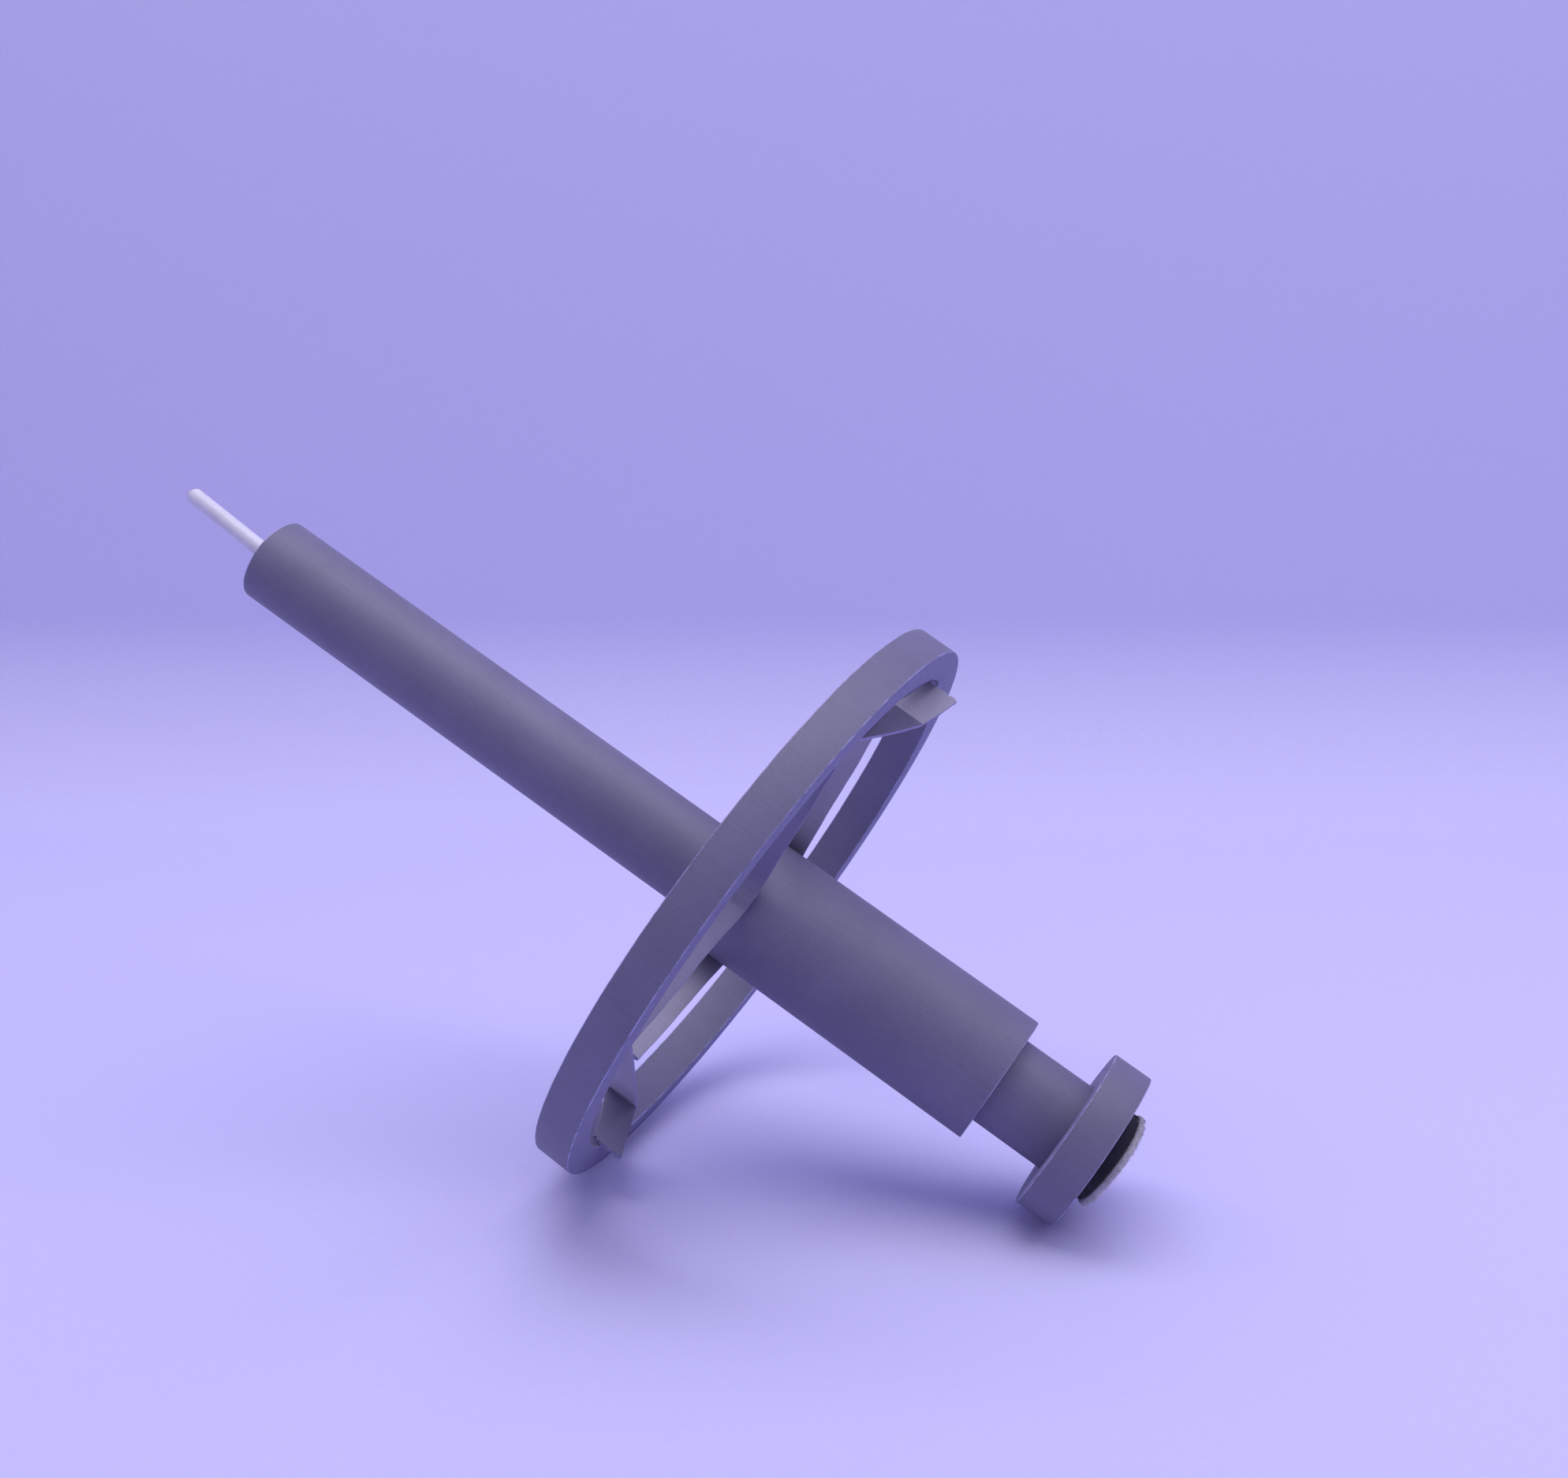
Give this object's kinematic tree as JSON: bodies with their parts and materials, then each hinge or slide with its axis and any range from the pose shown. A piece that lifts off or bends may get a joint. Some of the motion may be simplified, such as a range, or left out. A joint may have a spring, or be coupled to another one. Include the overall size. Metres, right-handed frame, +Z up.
{
  "type": "drop spindle",
  "caption": "Drop spindle with a hollow shaft, a ring whorl held by folded strips, a sleeve, a stepped base with a round hook-and-loop pad, and a slim rod at the top.",
  "frame": {"origin": "centre of the bounding box on the floor that the whorl's rim and the base's rim rest on", "axes": "+X level, along the lying spindle from the rod tip to the base; +Z up"},
  "size_m": [0.2334, 0.14, 0.1479],
  "materials": {
    "grey_tube": "matte grey plastic pipe with fine scuffs",
    "grey_strip": "thin grey plastic strip with pale cut edges",
    "white_rod": "semi-gloss white",
    "black_hook": "black hook pile",
    "white_loop": "white loop pile on a pale backing"
  },
  "bodies": {
    "spindle": {"shaft_tube": "grey_tube", "top_plug": "grey_tube", "bottom_plug": "grey_tube", "lower_sleeve": "grey_tube", "base_collar": "grey_tube", "base_ring": "grey_tube", "hook_dot": "black_hook", "loop_dot": "white_loop"},
    "whorl": {"whorl_ring": "grey_tube", "front_strip": "grey_strip", "back_strip": "grey_strip", "upper_brace": "grey_strip", "lower_brace": "grey_strip"},
    "rod": {"tip_rod": "white_rod"}
  },
  "joints": [
    {"name": "whorl_slide", "type": "slide", "parent": "spindle", "child": "whorl", "axis": [-0.8659, 0, 0.5003], "range_m": [-0.05, 0.12]},
    {"name": "rod_slide", "type": "slide", "parent": "spindle", "child": "rod", "axis": [0.8423, -0.0189, -0.5387], "range_m": [-0.012, 0.02]}
  ]
}
